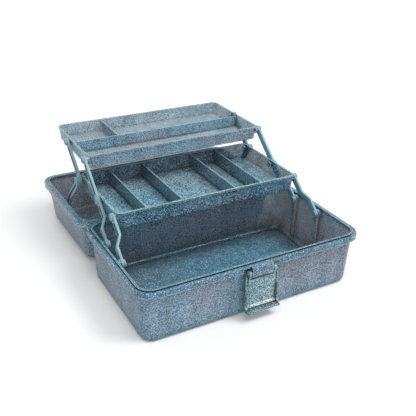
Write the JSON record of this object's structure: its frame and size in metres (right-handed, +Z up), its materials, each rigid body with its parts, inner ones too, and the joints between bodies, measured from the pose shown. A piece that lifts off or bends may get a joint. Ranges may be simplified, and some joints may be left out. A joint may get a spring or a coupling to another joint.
{
  "type": "craft caddy",
  "caption": "Hinged craft box with two divided trays that rise and step back on cantilever arms as the lid swings open, with a front latch and a folding carry handle.",
  "frame": {"origin": "centre of the base's underside", "axes": "+Z up; +X to the right seen from the front; -Y towards the front, where the latch is; modelled open"},
  "size_m": [0.34, 0.4237, 0.1637],
  "materials": {
    "case_plastic": "satin, translucent, with fine glitter",
    "tray_plastic": "satin, translucent, with fine glitter",
    "arm_plastic": "satin",
    "latch_plastic": "gloss, with fine glitter",
    "handle_plastic": "gloss",
    "pin_steel": "brushed"
  },
  "bodies": {
    "base": {"base_bin": "case_plastic", "base_pivot_pins": "arm_plastic", "lid_hinge_pins": "pin_steel", "latch_pin": "pin_steel"},
    "lid": {"lid": "case_plastic", "handle_pins": "pin_steel"},
    "carry_handle": {"carry_handle": "handle_plastic"},
    "latch": {"latch": "latch_plastic"},
    "front_arm_left": {"front_arm_left": "arm_plastic"},
    "front_arm_right": {"front_arm_right": "arm_plastic"},
    "long_arm_left": {"long_arm_left": "arm_plastic"},
    "long_arm_right": {"long_arm_right": "arm_plastic"},
    "lower_tray": {"lower_tray": "tray_plastic", "lower_tray_pins": "arm_plastic"},
    "upper_tray": {"upper_tray": "tray_plastic", "upper_tray_pins": "arm_plastic"},
    "rear_arm_left": {"rear_arm_left": "arm_plastic"},
    "rear_arm_right": {"rear_arm_right": "arm_plastic"},
    "lid_link_left": {"lid_link_left": "arm_plastic", "lid_link_rivet_left": "arm_plastic"},
    "lid_link_right": {"lid_link_right": "arm_plastic", "lid_link_rivet_right": "arm_plastic"}
  },
  "joints": [
    {"name": "lid_hinge", "type": "hinge", "parent": "base", "child": "lid", "pos_m": [0, 0.1055, 0.0774], "axis": [1, 0, 0], "range_deg": [0, 182]},
    {"name": "front_arm_left_pivot", "type": "hinge", "parent": "base", "child": "front_arm_left", "pos_m": [-0.152, -0.01, 0.0728], "axis": [1, 0, 0], "range_deg": [0, 119]},
    {"name": "long_arm_left_pivot", "type": "hinge", "parent": "base", "child": "long_arm_left", "pos_m": [-0.152, 0.045, 0.0728], "axis": [1, 0, 0], "range_deg": [0, 119]},
    {"name": "front_arm_right_pivot", "type": "hinge", "parent": "base", "child": "front_arm_right", "pos_m": [0.152, -0.01, 0.0728], "axis": [1, 0, 0], "range_deg": [0, 119]},
    {"name": "long_arm_right_pivot", "type": "hinge", "parent": "base", "child": "long_arm_right", "pos_m": [0.152, 0.045, 0.0728], "axis": [1, 0, 0], "range_deg": [0, 119]},
    {"name": "lower_tray_pivot", "type": "hinge", "parent": "front_arm_left", "child": "lower_tray", "pos_m": [0, 0.03943, 0.11501], "axis": [1, 0, 0], "range_deg": [-119, 0]},
    {"name": "upper_tray_pivot", "type": "hinge", "parent": "long_arm_left", "child": "upper_tray", "pos_m": [0, 0.14385, 0.15723], "axis": [1, 0, 0], "range_deg": [-119, 0]},
    {"name": "rear_arm_left_pivot", "type": "hinge", "parent": "lower_tray", "child": "rear_arm_left", "pos_m": [-0.146, 0.17043, 0.11501], "axis": [1, 0, 0], "range_deg": [0, 119]},
    {"name": "lid_link_left_pivot", "type": "hinge", "parent": "lower_tray", "child": "lid_link_left", "pos_m": [-0.146, 0.17043, 0.11501], "axis": [1, 0, 0], "range_deg": [0, 228]},
    {"name": "rear_arm_right_pivot", "type": "hinge", "parent": "lower_tray", "child": "rear_arm_right", "pos_m": [0.146, 0.17043, 0.11501], "axis": [1, 0, 0], "range_deg": [0, 119]},
    {"name": "lid_link_right_pivot", "type": "hinge", "parent": "lower_tray", "child": "lid_link_right", "pos_m": [0.146, 0.17043, 0.11501], "axis": [1, 0, 0], "range_deg": [0, 228]},
    {"name": "latch_hinge", "type": "hinge", "parent": "base", "child": "latch", "pos_m": [0, -0.1018, 0.0702], "axis": [-1, 0, 0], "range_deg": [0, 180]},
    {"name": "handle_hinge", "type": "hinge", "parent": "lid", "child": "carry_handle", "pos_m": [0, 0.22559, 0.00613], "axis": [-1, 0, 0], "range_deg": [0, 90]}
  ],
  "couplings": [
    {"joint": "front_arm_left_pivot", "follows": "lid_hinge", "ratio": 0.6538},
    {"joint": "long_arm_left_pivot", "follows": "lid_hinge", "ratio": 0.6538},
    {"joint": "front_arm_right_pivot", "follows": "lid_hinge", "ratio": 0.6538},
    {"joint": "long_arm_right_pivot", "follows": "lid_hinge", "ratio": 0.6538},
    {"joint": "lower_tray_pivot", "follows": "lid_hinge", "ratio": -0.6538},
    {"joint": "upper_tray_pivot", "follows": "lid_hinge", "ratio": -0.6538},
    {"joint": "rear_arm_left_pivot", "follows": "lid_hinge", "ratio": 0.6538},
    {"joint": "lid_link_left_pivot", "follows": "lid_hinge", "ratio": 1.25},
    {"joint": "rear_arm_right_pivot", "follows": "lid_hinge", "ratio": 0.6538},
    {"joint": "lid_link_right_pivot", "follows": "lid_hinge", "ratio": 1.25}
  ]
}
